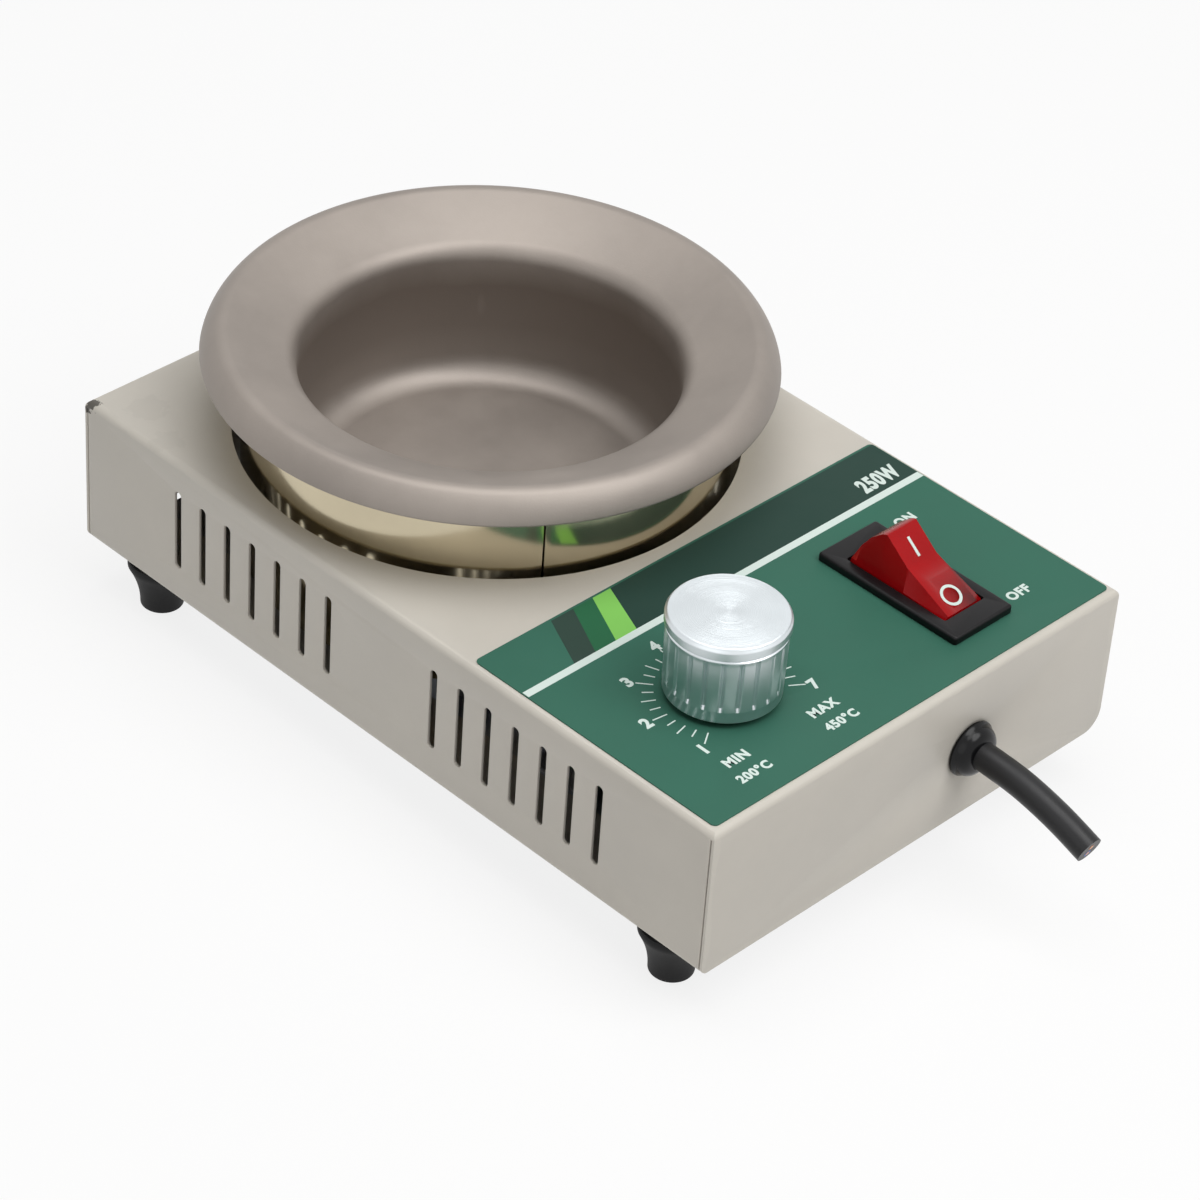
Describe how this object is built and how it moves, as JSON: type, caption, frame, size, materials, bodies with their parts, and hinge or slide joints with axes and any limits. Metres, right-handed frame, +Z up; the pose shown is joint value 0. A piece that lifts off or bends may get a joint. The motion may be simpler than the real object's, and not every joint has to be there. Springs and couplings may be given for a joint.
{
  "type": "solder pot",
  "caption": "Compact solder pot: a round formed-steel bath over a vented folded case with a heat dial, a red rocker switch and a short lead.",
  "frame": {"origin": "on the floor, under the middle of the case", "axes": "+Z up, +Y from the dial end to the pot end, +X to the right seen from the dial end"},
  "size_m": [0.1026, 0.1854, 0.0613],
  "materials": {
    "cover_paint": "warm light grey powder coat, semi-gloss, worn through at one corner",
    "zinc_plate": "zinc-plated steel",
    "panel_print": "green printed polycarbonate overlay with white marks",
    "pot_steel": "matt, blasted stainless steel, grey with a warm cast",
    "polished_steel": "polished stainless strip with a straw heat tint",
    "screw_steel": "nickel-plated steel",
    "mica": "mica sheet",
    "ceramic_fibre": "pressed ceramic fibre",
    "sheet_aluminium": "mill finish",
    "circuit_board": "green solder mask",
    "red_plastic": "potted film capacitor",
    "copper_wire": "enamelled copper winding",
    "resistor_body": "lacquered resistor body",
    "ceramic": "glazed ceramic",
    "turned_aluminium": "turned and anodised aluminium with a radial sheen",
    "black_plastic": "fine-textured black moulding",
    "brass_blades": "plain brass",
    "lamp_glass": "clear glass",
    "rocker_red": "translucent red, glossy",
    "bushing_plastic": "glossy black moulding",
    "cord_sheath": "black rubber sheath with a soft sheen",
    "brown_sleeve": "brown insulation",
    "blue_sleeve": "blue insulation",
    "glass_sleeve": "woven glass sleeve",
    "foot_rubber": "black rubber"
  },
  "bodies": {
    "housing": {"cover": "cover_paint", "base_plate": "zinc_plate", "panel": "panel_print", "pot": "pot_steel", "pot_studs": "screw_steel", "stud_nuts": "screw_steel", "shell": "polished_steel", "carrier_pan": "zinc_plate", "heater_band": "mica", "band_screw": "screw_steel", "insulating_pad": "ceramic_fibre", "pillar_left": "zinc_plate", "pillar_right": "zinc_plate", "pillar_back": "zinc_plate", "pillar_screws": "screw_steel", "pillar_nuts": "screw_steel", "heat_baffle": "sheet_aluminium", "baffle_screws": "screw_steel", "board": "circuit_board", "board_posts": "zinc_plate", "board_screws": "screw_steel", "capacitor": "red_plastic", "choke": "copper_wire", "triac": "black_plastic", "heat_sink": "sheet_aluminium", "resistors": "resistor_body", "terminal_block": "ceramic", "potentiometer": "zinc_plate", "dial_washer": "screw_steel", "dial_nut": "screw_steel", "switch_body": "black_plastic", "switch_blades": "brass_blades", "lamp": "lamp_glass", "bushing": "bushing_plastic", "cord": "cord_sheath", "cord_tail": "cord_sheath", "live_lead": "brown_sleeve", "neutral_lead": "blue_sleeve", "heater_leads": "glass_sleeve", "foot_front_left": "foot_rubber", "foot_front_right": "foot_rubber", "foot_back_left": "foot_rubber", "foot_back_right": "foot_rubber", "foot_screws": "screw_steel", "foot_nuts": "screw_steel"},
    "dial": {"shaft": "turned_aluminium", "knob_insert": "black_plastic", "knob": "turned_aluminium"},
    "rocker": {"rocker": "rocker_red"}
  },
  "joints": [
    {"name": "dial_turn", "type": "hinge", "parent": "housing", "child": "dial", "pos_m": [-0.023, -0.0537, 0.045], "axis": [0, 0, 1], "range_deg": [-246, 0]},
    {"name": "rocker_press", "type": "hinge", "parent": "housing", "child": "rocker", "pos_m": [0.0231, -0.0549, 0.03972], "axis": [1, 0, 0], "range_deg": [-24, 0]}
  ]
}
